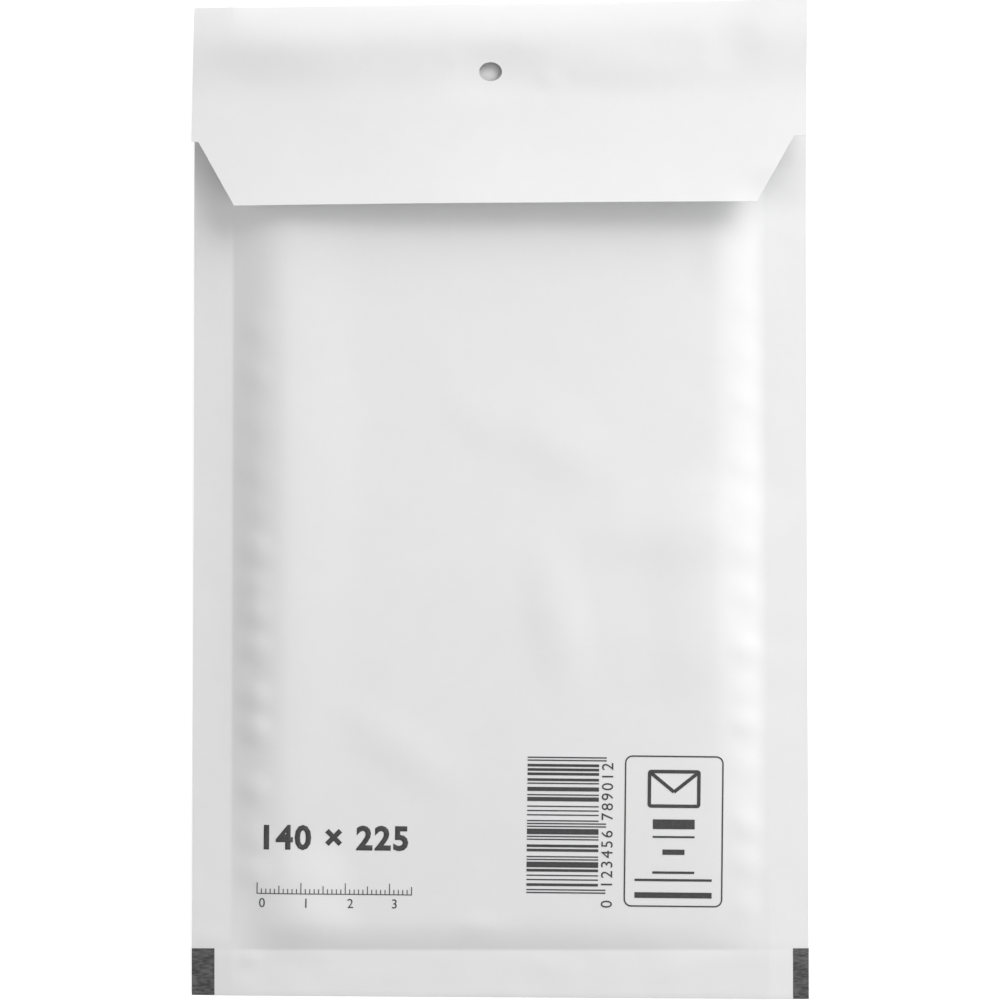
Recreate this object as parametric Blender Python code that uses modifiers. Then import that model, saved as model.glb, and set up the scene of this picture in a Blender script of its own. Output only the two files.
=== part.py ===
"""Padded envelope, lying on its front with the flap folded loosely over its back.

Metres, +Z up. X runs across the envelope, Y from its bottom fold to its top, and it rests on
z = 0. The cover is one sheet of paper: the back panel runs down from the mouth, the sheet turns
at the bottom fold, comes back up as the front panel, and rolls over the top as the flap. The
sides and the bottom are glued together as flat seams round a folded bubble-film liner.
"""

import math

import bmesh
import bpy
from mathutils import Matrix

MM = 0.001

# Outer size of the folded envelope
WIDTH = 140.0 * MM
LENGTH = 226.0 * MM
PAD_HEIGHT = 8.0 * MM

# Paper cover
PAPER = 0.15 * MM
SEAM_GLUE = 0.1 * MM
SIDE_SEAM = 9.0 * MM
BOTTOM_SEAM = 11.2 * MM
SEAM_HEIGHT = 2.9 * MM
SEAM_DROOP = 0.7 * MM
SEAM_GLUE_INSET = 0.6 * MM
SEAM_TOP_RISE = 1.2 * MM
SEAM_TOP_RISE_FROM_Y = -10.0 * MM
SEAM_TOP_RISE_RUN = 90.0 * MM

# How far in from the seams the padding takes to reach its full height
BACK_LEFT_RUN = 13.5 * MM
BACK_RIGHT_RUN = 10.5 * MM
BACK_END_RUN = 6.5 * MM
STRAIGHT_SHARE = 0.36
FRONT_SIDE_RUN = 12.0 * MM
FRONT_END_RUN = 10.0 * MM

# Bubbles that show through the paper where it is drawn over the sides of the padding
BUBBLE_PITCH = 9.6 * MM
BUBBLE_SHOW = 0.4 * MM
ROWS_PER_BUBBLE = 3

# The padding thins out towards the bottom and, a little, towards the right
TAIL_DIP = 3.8 * MM
TAIL_RUN = 90.0 * MM
RIGHT_FALL = 1.4 * MM
RIGHT_FALL_FROM_X = 8.0 * MM

# Mouth, under the flap
MOUTH_FROM_TOP = 8.0 * MM
MOUTH_DIP = 0.9 * MM
MOUTH_DIP_RUN = 14.0 * MM

# Slack of the back panel over the padding
SWELL = 0.3 * MM
SWELL_ACROSS = 96.0 * MM
SWELL_ALONG = 150.0 * MM

# Flap, measured from the top of the roll and seen from above
FLAP_DEPTH = 46.4 * MM
FLAP_HEIGHT = 10.2 * MM
FLAP_LIFT = 3.7 * MM
FLAP_LIFT_POWER = 1.8
FLAP_LEFT_FALL = 2.8 * MM
FLAP_LEFT_FALL_POWER = 1.8
FLAP_HUMP = 0.8 * MM
FLAP_HUMP_FROM_TOP = 7.0 * MM
FLAP_HUMP_RUN = 14.0 * MM
ROLL_UPPER_RUN = 11.0 * MM
ROLL_LOWER_RUN = 8.0 * MM
ROLL_LIMB_SHARE = 0.76
ROLL_SHARPNESS = 1.6
TAPER_DEPTH = 15.2 * MM
TAPER_INSET = 8.6 * MM
TAPER_STEP = 1.6 * MM

# The sheet was folded a little out of square. Each skew is the rise at the right edge.
TOP_SKEW = 0.75 * MM
FLAP_EDGE_SKEW = 0.45 * MM
BOTTOM_SKEW = -0.45 * MM
FLAP_SHIFT = -0.6 * MM

# Hole punched in the flap
HOLE_WIDTH = 5.2 * MM
HOLE_LENGTH = 4.3 * MM
HOLE_FROM_TOP = 15.9 * MM
HOLE_X = -2.0 * MM
PUNCH_LENGTH = 1.0 * MM

# Bubble-film liner, a folded and side-sealed pad with a slit for the contents
CLEARANCE = 0.3 * MM
LINER_INSET = 3.2 * MM
LINER_BELOW_MOUTH = 2.0 * MM
POCKET_GAP = 0.8 * MM
POCKET_SIDE_WALL = 4.0 * MM
POCKET_BOTTOM_WALL = 5.0 * MM

# Closure strips under the flap
ADHESIVE = 0.15 * MM
ADHESIVE_WIDTH = 14.0 * MM
ADHESIVE_END_GAP = 4.0 * MM
RELEASE_PAPER = 0.1 * MM
RELEASE_WIDTH = 19.0 * MM
RELEASE_END_GAP = 1.5 * MM
CLOSURE_FROM_EDGE = 12.5 * MM

# Mesh spacing
FINE_STEP = 3.0 * MM
COARSE_STEP = 15.0 * MM
FOLD_STEPS = 4
ROLL_STEPS = 12
HOLE_SIDES = 32

HALF_WIDTH = WIDTH / 2
SEAM_X = HALF_WIDTH - SIDE_SEAM
PAD_X = SEAM_X - max(BACK_LEFT_RUN, BACK_RIGHT_RUN)
BOTTOM_Y = -LENGTH / 2
TOP_Y = LENGTH / 2
CREASE_Y = BOTTOM_Y + BOTTOM_SEAM
MOUTH_Y = TOP_Y - MOUTH_FROM_TOP
ROLL_START_Y = TOP_Y - ROLL_LOWER_RUN
ROLL_END_Y = TOP_Y - ROLL_UPPER_RUN
FLAP_EDGE_Y = TOP_Y - FLAP_DEPTH
TAPER_Y = FLAP_EDGE_Y + TAPER_DEPTH
SEAM_GAP = PAPER + SEAM_GLUE


def between(low, high, share):
    return low + (high - low) * share


def clamped(share):
    return min(max(share, 0.0), 1.0)


def ease(share):
    """Rises steeply from 0 and levels out at 1."""
    return 1 - (1 - clamped(share)) ** 2


def crown(share):
    """Rises from 0 in a straight slope, then rounds off to 1."""
    steepness = 2 / (1 + STRAIGHT_SHARE)
    share = clamped(share)
    if share < STRAIGHT_SHARE:
        return steepness * share
    return 1 - steepness * (1 - share) ** 2 / (2 * (1 - STRAIGHT_SHARE))


def bell(share):
    """1 at 0, down smoothly to 0 at 1 and beyond, on both sides."""
    return (1 - clamped(abs(share)) ** 2) ** 2


def stations(start, end, step):
    """Evenly spaced values from start to end, no further apart than step."""
    count = max(1, math.ceil(abs(end - start) / step - 1e-9))
    return [between(start, end, i / count) for i in range(count + 1)]


def joined(*runs):
    """Runs of stations that meet end to end, as one list without the repeated ends."""
    values = [runs[0][0]]
    for run in runs:
        values.extend(run[1:])
    return values


def mirrored(right):
    """Stations from 0 outwards, with the same ones on the left."""
    return [-x for x in reversed(right[1:])] + right


def skew(x, rise):
    return rise * x / HALF_WIDTH


def panel_y(x, y):
    """A panel's row at y, a little out of square towards the bottom fold and the roll."""
    if y < CREASE_Y:
        return y + skew(x, BOTTOM_SKEW) * (CREASE_Y - y) / BOTTOM_SEAM
    if y > ROLL_END_Y:
        return y + skew(x, TOP_SKEW) * (y - ROLL_END_Y) / ROLL_UPPER_RUN
    return y


def panel_plan(x, y):
    return x, panel_y(x, y)


def flap_plan(x, y):
    """A point of the flap seen from above, turned with the fold and slid with the flap."""
    share = (TOP_Y - y) / FLAP_DEPTH
    return x + FLAP_SHIFT * share, y + skew(x, between(TOP_SKEW, FLAP_EDGE_SKEW, share))


def seam_height(x, y):
    """Height of the glue line, which droops outside the seam line and is drawn up by the roll."""
    droop = SEAM_DROOP * max(0.0, (abs(x) - SEAM_X) / SIDE_SEAM)
    top_share = clamped((y - SEAM_TOP_RISE_FROM_Y) / SEAM_TOP_RISE_RUN)
    return SEAM_HEIGHT - droop + SEAM_TOP_RISE * (1 - math.cos(math.pi * top_share)) / 2


def back_side_share(x):
    """How far in from the seam line a point is, as a share of the padding's run on that side."""
    return clamped((SEAM_X - abs(x)) / (BACK_RIGHT_RUN if x > 0 else BACK_LEFT_RUN))


def pad_height(x, y):
    """Height of the middle of the back panel's paper where no bubble shows through it."""
    rise = crown(back_side_share(x)) * ease((y - CREASE_Y) / BACK_END_RUN)
    foot = seam_height(x, y) + SEAM_GAP / 2
    slack = SWELL * (math.sin(2 * math.pi * (x / SWELL_ACROSS + y / SWELL_ALONG)) - 1)
    mouth_dip = MOUTH_DIP * clamped((y - MOUTH_Y) / MOUTH_DIP_RUN + 1) ** 2
    tail_dip = TAIL_DIP * (1 - clamped((y - CREASE_Y) / TAIL_RUN)) ** 2
    right_fall = RIGHT_FALL * clamped((x - RIGHT_FALL_FROM_X) / (SEAM_X - RIGHT_FALL_FROM_X)) ** 2
    full = PAD_HEIGHT - PAPER / 2 + slack - mouth_dip - tail_dip - right_fall
    return between(foot, full, rise)


def bubble_show(x, y):
    """How far the bubbles lift the paper, all along each side, in step across the seam."""
    share = back_side_share(x)
    bump = (1 + math.cos(2 * math.pi * (y - CREASE_Y) / BUBBLE_PITCH)) / 2
    return BUBBLE_SHOW * 4 * share * (1 - share) * bump * ease((y - CREASE_Y) / BACK_END_RUN)


def back_height(x, y):
    return pad_height(x, y) + bubble_show(x, y)


def front_height(x, y):
    """Height of the middle of the front panel's paper, which lies flat under the padding."""
    rise = ease((SEAM_X - abs(x)) / FRONT_SIDE_RUN) * ease((y - CREASE_Y) / FRONT_END_RUN)
    foot = seam_height(x, y) - SEAM_GAP / 2
    return between(foot, PAPER / 2, rise)


def flap_height(x, y):
    """Height of the middle of the flap's paper, from the end of the roll to the flap's edge."""
    share = clamped((ROLL_END_Y - y) / (ROLL_END_Y - FLAP_EDGE_Y))
    lift = FLAP_LIFT * share**FLAP_LIFT_POWER
    hump = FLAP_HUMP * bell((TOP_Y - FLAP_HUMP_FROM_TOP - y) / FLAP_HUMP_RUN)
    left_fall = FLAP_LEFT_FALL * clamped(-x / HALF_WIDTH) ** FLAP_LEFT_FALL_POWER
    return FLAP_HEIGHT + lift + hump - left_fall


def flap_half_width(y):
    """Half the flap's width: full at the roll, then a small step and a taper to the edge."""
    if y >= TAPER_Y:
        return HALF_WIDTH
    return HALF_WIDTH - TAPER_STEP - TAPER_INSET * (TAPER_Y - y) / TAPER_DEPTH


def back_row(y):
    return lambda x: (*panel_plan(x, y), back_height(x, y))


def front_row(y):
    return lambda x: (*panel_plan(x, y), front_height(x, y))


def flap_row(y):
    return lambda x: (*flap_plan(x, y), flap_height(x, y))


def bottom_fold_row(angle):
    """A row on the half turn at the bottom, from the back panel to the front panel."""
    radius = SEAM_GAP / 2
    y = BOTTOM_Y + radius * (1 - math.sin(angle))
    return lambda x: (*panel_plan(x, y), seam_height(x, y) + radius * math.cos(angle))


def roll_limb_height(x):
    """Height of the outermost line of the roll."""
    return between(front_height(x, TOP_Y), flap_height(x, TOP_Y), ROLL_LIMB_SHARE)


def roll_row(angle):
    """A row on the soft roll over the mouth: up from the front panel, then back over as the flap."""
    if angle > math.pi / 2:
        y = TOP_Y - ROLL_UPPER_RUN * (1 - math.sin(angle))
        rise = (-math.cos(angle)) ** ROLL_SHARPNESS
        return lambda x: (*flap_plan(x, y), between(roll_limb_height(x), flap_height(x, y), rise))
    y = TOP_Y - ROLL_LOWER_RUN * (1 - math.sin(angle))
    rise = 1 - max(0.0, math.cos(angle)) ** ROLL_SHARPNESS
    return lambda x: (*panel_plan(x, y), between(front_height(x, y), roll_limb_height(x), rise))


def cover_columns():
    """The x of each column of the sheet, close together where the padding rises."""
    return mirrored(
        joined(
            stations(0, PAD_X, COARSE_STEP),
            stations(PAD_X, SEAM_X, FINE_STEP),
            [SEAM_X, HALF_WIDTH],
        )
    )


def cover_rows():
    """Each row of the sheet with its half width, from the mouth to the edge of the flap."""
    pad_end = CREASE_Y + BACK_END_RUN
    back = joined(
        stations(MOUTH_Y, pad_end, BUBBLE_PITCH / ROWS_PER_BUBBLE),
        stations(pad_end, CREASE_Y, FINE_STEP),
        [CREASE_Y, BOTTOM_Y + SEAM_GAP / 2],
    )
    front = joined(
        [BOTTOM_Y + SEAM_GAP / 2, CREASE_Y],
        stations(CREASE_Y, CREASE_Y + FRONT_END_RUN, FINE_STEP),
        stations(CREASE_Y + FRONT_END_RUN, ROLL_START_Y, COARSE_STEP),
    )
    fold_angles = [math.pi * i / FOLD_STEPS for i in range(1, FOLD_STEPS)]
    roll_angles = [math.pi * i / ROLL_STEPS for i in range(1, ROLL_STEPS + 1)]
    flap = joined(
        stations(ROLL_END_Y, TAPER_Y, 2 * FINE_STEP),
        [TAPER_Y, TAPER_Y - PAPER],
        stations(TAPER_Y - PAPER, FLAP_EDGE_Y, 2 * FINE_STEP),
    )
    rows = [(back_row(y), HALF_WIDTH) for y in back]
    rows += [(bottom_fold_row(angle), HALF_WIDTH) for angle in fold_angles]
    rows += [(front_row(y), HALF_WIDTH) for y in front]
    rows += [(roll_row(angle), HALF_WIDTH) for angle in roll_angles]
    rows += [(flap_row(y), flap_half_width(y)) for y in flap[1:]]
    return rows


def clear_scene():
    for obj in list(bpy.data.objects):
        bpy.data.objects.remove(obj)


def collection(name):
    made = bpy.data.collections.new(name)
    bpy.context.scene.collection.children.link(made)
    return made


def material(name, colour, roughness, alpha=1.0):
    made = bpy.data.materials.new(name)
    made.use_nodes = True
    shader = made.node_tree.nodes["Principled BSDF"]
    shader.inputs["Base Color"].default_value = (*colour, 1.0)
    shader.inputs["Roughness"].default_value = roughness
    shader.inputs["Alpha"].default_value = alpha
    return made


def add_object(name, bm, home, finish=None):
    """The finished bmesh as an object in its collection."""
    mesh = bpy.data.meshes.new(name)
    bm.to_mesh(mesh)
    bm.free()
    if finish:
        mesh.materials.append(finish)
    obj = bpy.data.objects.new(name, mesh)
    home.objects.link(obj)
    return obj


def as_helper(obj):
    obj.hide_render = True
    obj.display_type = "WIRE"
    return obj


def grid(place, columns, rows):
    """A grid with a point for each column and row, put where place(column, row) says."""
    bm = bmesh.new()
    bmesh.ops.create_grid(bm, x_segments=len(columns) - 1, y_segments=len(rows) - 1, size=0.5)
    for vertex in bm.verts:
        column = columns[round((vertex.co.x + 0.5) * (len(columns) - 1))]
        row = rows[round((vertex.co.y + 0.5) * (len(rows) - 1))]
        vertex.co = place(column, row)
    return bm


def solidify(obj, thickness):
    wall = obj.modifiers.new("Thickness", "SOLIDIFY")
    wall.thickness = thickness
    wall.offset = 0
    wall.use_even_offset = True


def boolean(obj, other, operation):
    change = obj.modifiers.new(operation.title(), "BOOLEAN")
    change.operation = operation
    change.object = other
    change.solver = "EXACT"


def folded_sheet(home, finish):
    """The paper before it is glued: one sheet, folded at the bottom and rolled at the top."""

    def place(x, row):
        line, half_width = row
        return line(x * half_width / HALF_WIDTH)

    sheet = add_object("paper_cover", grid(place, cover_columns(), cover_rows()), home, finish)
    solidify(sheet, PAPER)
    return sheet


def glued_seam(home):
    """The glue between the panels at the sides and the bottom, half way into each sheet."""
    outer_x = HALF_WIDTH - SEAM_GLUE_INSET
    columns = mirrored([0, SEAM_X, outer_x])
    rows = joined(
        [BOTTOM_Y + SEAM_GLUE_INSET, CREASE_Y],
        stations(CREASE_Y, MOUTH_Y - SEAM_GLUE_INSET, COARSE_STEP),
    )
    bm = grid(lambda x, y: (*panel_plan(x, y), seam_height(x, y)), columns, rows)
    over_padding = []
    for face in bm.faces:
        centre = face.calc_center_median()
        if abs(centre.x) < SEAM_X and centre.y > CREASE_Y:
            over_padding.append(face)
    bmesh.ops.delete(bm, geom=over_padding, context="FACES")
    seam = as_helper(add_object("seam_glue", bm, home))
    solidify(seam, SEAM_GAP)
    return seam


def hole_punch(home):
    """The punch that cuts the flap's hole, too short to reach the back panel."""
    y = TOP_Y - HOLE_FROM_TOP
    size = Matrix.Diagonal((HOLE_WIDTH, HOLE_LENGTH, PUNCH_LENGTH, 1))
    bm = bmesh.new()
    bmesh.ops.create_cone(
        bm, cap_ends=True, segments=HOLE_SIDES, radius1=0.5, radius2=0.5, depth=1, matrix=size
    )
    punch = as_helper(add_object("hole_punch", bm, home))
    punch.location = (HOLE_X, y, flap_height(HOLE_X, y))
    return punch


def make_paper_cover(home, helpers, finish):
    cover = folded_sheet(home, finish)
    boolean(cover, glued_seam(helpers), "UNION")
    boolean(cover, hole_punch(helpers), "DIFFERENCE")
    return cover


def slab(name, columns, rows, plan, low, high, home, finish=None):
    """A closed slab between the heights low(x, y) and high(x, y), its outline moved by plan."""
    bm = grid(lambda x, y: (x, y, 0.0), columns, rows)
    under = list(bm.verts)
    raised = bmesh.ops.extrude_face_region(bm, geom=list(bm.faces))["geom"]
    over = [part for part in raised if isinstance(part, bmesh.types.BMVert)]
    for vertices, height in ((under, low), (over, high)):
        for vertex in vertices:
            x, y = vertex.co.x, vertex.co.y
            vertex.co = (*plan(x, y), height(x, y))
    bmesh.ops.recalc_face_normals(bm, faces=list(bm.faces))
    return add_object(name, bm, home, finish)


def liner_top(x, y):
    return pad_height(x, y) - PAPER / 2 - CLEARANCE


def liner_bottom(x, y):
    return front_height(x, y) + PAPER / 2 + CLEARANCE


def pocket_middle(x, y):
    return (liner_top(x, y) + liner_bottom(x, y)) / 2


def liner_columns(edge):
    return mirrored(joined(stations(0, PAD_X, COARSE_STEP), stations(PAD_X, edge, FINE_STEP)))


def liner_rows(start, end):
    pad_end, dip_start = CREASE_Y + FRONT_END_RUN, MOUTH_Y - MOUTH_DIP_RUN
    return joined(
        stations(start, pad_end, FINE_STEP),
        stations(pad_end, dip_start, COARSE_STEP),
        stations(dip_start, end, 2 * FINE_STEP),
    )


def make_bubble_liner(home, helpers, finish):
    """The bubble film: back and front pads in one piece, joined at the sides and the bottom."""
    side, bottom = SEAM_X - LINER_INSET, CREASE_Y + LINER_INSET
    liner = slab(
        "bubble_liner",
        liner_columns(side),
        liner_rows(bottom, MOUTH_Y - LINER_BELOW_MOUTH),
        panel_plan,
        liner_bottom,
        liner_top,
        home,
        finish,
    )
    pocket = slab(
        "pocket",
        liner_columns(side - POCKET_SIDE_WALL),
        liner_rows(bottom + POCKET_BOTTOM_WALL, MOUTH_Y),
        panel_plan,
        lambda x, y: pocket_middle(x, y) - POCKET_GAP / 2,
        lambda x, y: pocket_middle(x, y) + POCKET_GAP / 2,
        helpers,
    )
    boolean(liner, as_helper(pocket), "DIFFERENCE")
    return liner


def closure_strip(name, width, end_gap, below_flap, thickness, home, finish):
    """A strip along the inside of the flap, its upper face this far below the flap's paper."""
    middle = FLAP_EDGE_Y + CLOSURE_FROM_EDGE
    low_y, high_y = middle - width / 2, middle + width / 2
    half = flap_half_width(low_y) - end_gap
    columns = stations(-half, half, COARSE_STEP)
    rows = stations(low_y, high_y, 2 * FINE_STEP)

    def top(x, y):
        return flap_height(x, y) - PAPER / 2 - below_flap

    def bottom(x, y):
        return top(x, y) - thickness

    return slab(name, columns, rows, flap_plan, bottom, top, home, finish)


def make_adhesive_strip(home, finish):
    return closure_strip(
        "adhesive_strip", ADHESIVE_WIDTH, ADHESIVE_END_GAP, CLEARANCE, ADHESIVE, home, finish
    )


def make_release_liner(home, finish):
    below_flap = CLEARANCE + ADHESIVE + CLEARANCE
    return closure_strip(
        "release_liner", RELEASE_WIDTH, RELEASE_END_GAP, below_flap, RELEASE_PAPER, home, finish
    )


def main():
    clear_scene()
    home = collection("padded_envelope")
    helpers = collection("helpers")
    helpers.hide_render = True
    paper = material("white kraft paper", (0.82, 0.82, 0.82), 0.75)
    film = material("bubble film", (0.80, 0.83, 0.86), 0.3, alpha=0.6)
    glue = material("clear hot-melt adhesive", (0.84, 0.80, 0.66), 0.35)
    silicone_paper = material("siliconised release paper", (0.78, 0.80, 0.80), 0.4)
    parts = [
        make_paper_cover(home, helpers, paper),
        make_bubble_liner(home, helpers, film),
        make_adhesive_strip(home, glue),
        make_release_liner(home, silicone_paper),
    ]
    for part in parts:
        part.data.shade_smooth()
        part.data.set_sharp_from_angle(angle=math.radians(30))


main()
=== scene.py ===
"""The padded envelope's looks: creased white paper over bubble film, print, floor, light, camera.

Metres, +Z up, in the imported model's frame. The envelope lies on its front, X runs across it and
Y from its bottom fold to the roll at its top. The sheet of paper is one surface: each of its
rows is a line across the envelope, from the mouth down the back, round the bottom fold, up the
front and over the roll to the edge of the flap.
"""

import math
from collections import namedtuple

import bmesh
import bpy
from mathutils import Matrix, Vector, noise


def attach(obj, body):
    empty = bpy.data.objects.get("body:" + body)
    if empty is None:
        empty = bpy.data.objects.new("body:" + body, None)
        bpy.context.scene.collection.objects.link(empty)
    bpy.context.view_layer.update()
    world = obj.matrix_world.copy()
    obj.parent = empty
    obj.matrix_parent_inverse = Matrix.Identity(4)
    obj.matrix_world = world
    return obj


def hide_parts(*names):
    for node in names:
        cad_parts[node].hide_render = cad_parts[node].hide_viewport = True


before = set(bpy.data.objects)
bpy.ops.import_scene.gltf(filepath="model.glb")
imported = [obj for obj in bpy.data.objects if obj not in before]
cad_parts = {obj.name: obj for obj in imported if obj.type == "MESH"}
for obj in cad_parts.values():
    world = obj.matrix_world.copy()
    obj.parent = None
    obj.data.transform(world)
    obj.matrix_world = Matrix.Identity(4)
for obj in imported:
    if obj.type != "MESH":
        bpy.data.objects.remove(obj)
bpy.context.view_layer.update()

MM = 0.001

# Outline and seams of the folded envelope
WIDTH = 140.0 * MM
LENGTH = 226.0 * MM
SIDE_SEAM = 9.0 * MM
BOTTOM_SEAM = 10.7 * MM
SEAM_HEIGHT = 2.9 * MM
SEAM_DROOP = 0.7 * MM
BOTTOM_DROOP = 0.4 * MM
SEAM_TOP_RISE = 1.2 * MM
SEAM_TOP_RISE_FROM_Y = -10.0 * MM
SEAM_TOP_RISE_RUN = 90.0 * MM
PAPER = 0.12 * MM
SEAM_GAP = 0.14 * MM
CREASE_DEPTH = 0.1 * MM
CREASE_HALF_WIDTH = 0.9 * MM

# Padding under the paper
PAD_HEIGHT = 8.0 * MM
BACK_LEFT_RUN = 13.5 * MM
BACK_RIGHT_RUN = 13.0 * MM
RIGHT_FOOT_SHARE = 0.22
BACK_END_RUN = 6.5 * MM
STRAIGHT_SHARE = 0.36
TAIL_DIP = 3.8 * MM
TAIL_RUN = 90.0 * MM
RIGHT_FALL = 1.4 * MM
RIGHT_FALL_FROM_X = 8.0 * MM
FRONT_SIDE_RUN = 12.0 * MM
FRONT_END_RUN = 10.0 * MM
MOUTH_FROM_TOP = 8.0 * MM
MOUTH_DIP = 0.9 * MM
MOUTH_DIP_RUN = 14.0 * MM

# Flap and roll
FLAP_DEPTH = 46.4 * MM
FLAP_HEIGHT = 10.2 * MM
FLAP_LIFT = 3.7 * MM
FLAP_LIFT_POWER = 1.8
FLAP_LEFT_FALL = 2.8 * MM
FLAP_LEFT_FALL_POWER = 1.8
FLAP_HUMP = 0.8 * MM
FLAP_HUMP_FROM_TOP = 7.0 * MM
FLAP_HUMP_RUN = 14.0 * MM
ROLL_UPPER_RUN = 11.0 * MM
ROLL_LOWER_RUN = 8.0 * MM
ROLL_LIMB_SHARE = 0.76
ROLL_LIMB_RIGHT_RISE = 0.18
ROLL_SHARPNESS = 1.6
TAPER_DEPTH = 15.2 * MM
TAPER_INSET = 8.6 * MM
TAPER_STEP = 1.6 * MM
RIGHT_TAPER_MORE = 1.2 * MM
HOLE_WIDTH = 5.2 * MM
HOLE_LENGTH = 4.3 * MM
HOLE_FROM_TOP = 15.9 * MM
HOLE_X = -2.0 * MM
HOLE_SIDES = 64
PUNCH_LENGTH = 1.0 * MM

# The sheet was folded a little out of square. Each skew is the rise at the right edge.
TOP_SKEW = 0.75 * MM
FLAP_EDGE_SKEW = 0.45 * MM
BOTTOM_SKEW = -0.45 * MM
FLAP_SHIFT = -0.6 * MM

# Bubble film: a flat film with bubbles on its outer face, folded and sealed at the sides
CLEARANCE = 0.3 * MM
FILM = 0.06 * MM
FILM_CELL = 3.0 * MM
LINER_INSET = 3.2 * MM
LINER_BELOW_MOUTH = 2.0 * MM
POCKET_GAP = 0.8 * MM
POCKET_LARGEST_SHARE = 0.4
POCKET_SEAL = 4.0 * MM
BUBBLE_PITCH = 8.4 * MM
BUBBLE_COLUMN_PITCH = BUBBLE_PITCH * math.sqrt(3) / 2
BUBBLE_RADIUS_OF_FILM = 3.8 * MM
BUBBLE_SIDES = 12
BUBBLE_SMOOTH_DEGREES = 60
# Outwards and upwards shares of each ring of a bubble, from its foot to its flattened top
BUBBLE_PROFILE = ((1.0, 0.0), (0.98, 0.4), (0.88, 0.8), (0.66, 0.97), (0.3, 1.0))

# Closure strips under the flap
STRIP_GAP = 0.05 * MM
ADHESIVE = 0.15 * MM
ADHESIVE_WIDTH = 14.0 * MM
ADHESIVE_END_GAP = 4.0 * MM
RELEASE_PAPER = 0.1 * MM
RELEASE_WIDTH = 19.0 * MM
RELEASE_END_GAP = 1.5 * MM
CLOSURE_FROM_EDGE = 12.5 * MM

# Print on the back panel, which was printed a little askew. Each corner is a lower left one.
INK = 0.02 * MM
INK_GAP = 0.035 * MM
PRINT_CELL = 1.2 * MM
PRINT_MERGE_DISTANCE = 0.002 * MM
PRINT_TURN = math.radians(-0.6)
FIGURE_HEIGHT_SHARE = 0.73
FIGURE_CURVE_STEPS = 3
CORNER_MARK_TOP_Y = -102.0 * MM
CORNER_MARK_LEFT = 5.2 * MM
CORNER_MARK_RIGHT = 3.6 * MM
BAR_CODE_CORNER = (22.1 * MM, -89.6 * MM)
BAR_CODE_FIGURES = "0123456789012"
HALF_FIGURES = 6
SIDE_GUARD = "101"
CENTRE_GUARD = "01010"
FIGURE_BARS = (
    "0001101", "0011001", "0010011", "0111101", "0100011",
    "0110001", "0101111", "0111011", "0110111", "0001011",
)
FIGURE_MODULES = 7
FIRST_FIGURE_MODULES = 10
MODULE = 0.325 * MM
BAR_HEIGHT = 16.2 * MM
BAR_TRIM = 0.03 * MM
GUARD_REACH = 1.7 * MM
FIGURE_DROP = 3.2 * MM
CODE_FIGURE_HEIGHT = 2.7 * MM
LABEL_CORNER = (27.9 * MM, -92.5 * MM)
LABEL_WIDTH = 22.4 * MM
LABEL_HEIGHT = 34.2 * MM
LABEL_LINE = 0.33 * MM
LABEL_ROUNDING = 1.7 * MM
LABEL_CORNER_STEPS = 6
LABEL_ENVELOPE_CORNER = (5.2 * MM, 22.4 * MM)
LABEL_ENVELOPE_WIDTH = 12.0 * MM
LABEL_ENVELOPE_HEIGHT = 8.6 * MM
LABEL_ENVELOPE_TIP_SHARE = 0.42
LABEL_ENVELOPE_LINE = 0.8 * MM
# Height above the label's foot, length and thickness of each bar in millimetres
LABEL_BARS = (
    (2.0, 17.5, 1.3), (5.8, 17.5, 0.55), (7.5, 9.5, 0.55),
    (11.8, 5.0, 1.2), (15.6, 9.5, 0.45), (17.6, 9.5, 2.2),
)
SIZE_FIGURES = "140 × 225"
SIZE_FIGURES_CORNER = (-54.8 * MM, -79.3 * MM)
SIZE_FIGURE_HEIGHT = 5.4 * MM
SIZE_FIGURE_WEIGHT = 0.25 * MM
SIZE_FIGURE_SPACING = 1.12
RULER_CORNER = (-55.2 * MM, -92.6 * MM)
RULER_BASE = 3.0 * MM
RULER_LENGTH = 35.0 * MM
RULER_LINE = 0.2 * MM
RULER_TICKS = (2.6 * MM, 1.9 * MM, 1.2 * MM)
RULER_FIGURE_HEIGHT = 2.2 * MM
RULER_FIGURE_SHIFT = 0.5 * MM

# Camera and light
CAMERA_DISTANCE = 1.0
CAMERA_TILT = math.radians(3.4)
CAMERA_TARGET = (-0.05 * MM, -0.25 * MM, 4.0 * MM)
VIEW_WIDTH = 227.8 * MM
SENSOR_WIDTH = 36.0
FLOOR_SIZE = 6.0
FLOOR_LIFT = 0.66
ROOM_LIGHT = 0.33
KEY_PLACE = (0.70, 0.80, 0.58)
KEY_SIZE = 1.0
KEY_POWER = 14.8
FRONT_PLACE = (0.7, -0.35, 1.0)
FRONT_SIZE = 0.8
FRONT_POWER = 3.9
LEFT_PLACE = (-1.0, -0.1, 0.8)
LEFT_SIZE = 0.8
LEFT_POWER = 2.5

# Spacing of the paper's mesh
CELL = 1.25 * MM
WIDE_CELL = 3.0 * MM
CREASE_CELL = 0.4 * MM
FOLD_STEPS = 6
ROLL_STEPS = 28
ROUNDING = 1e-9

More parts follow.
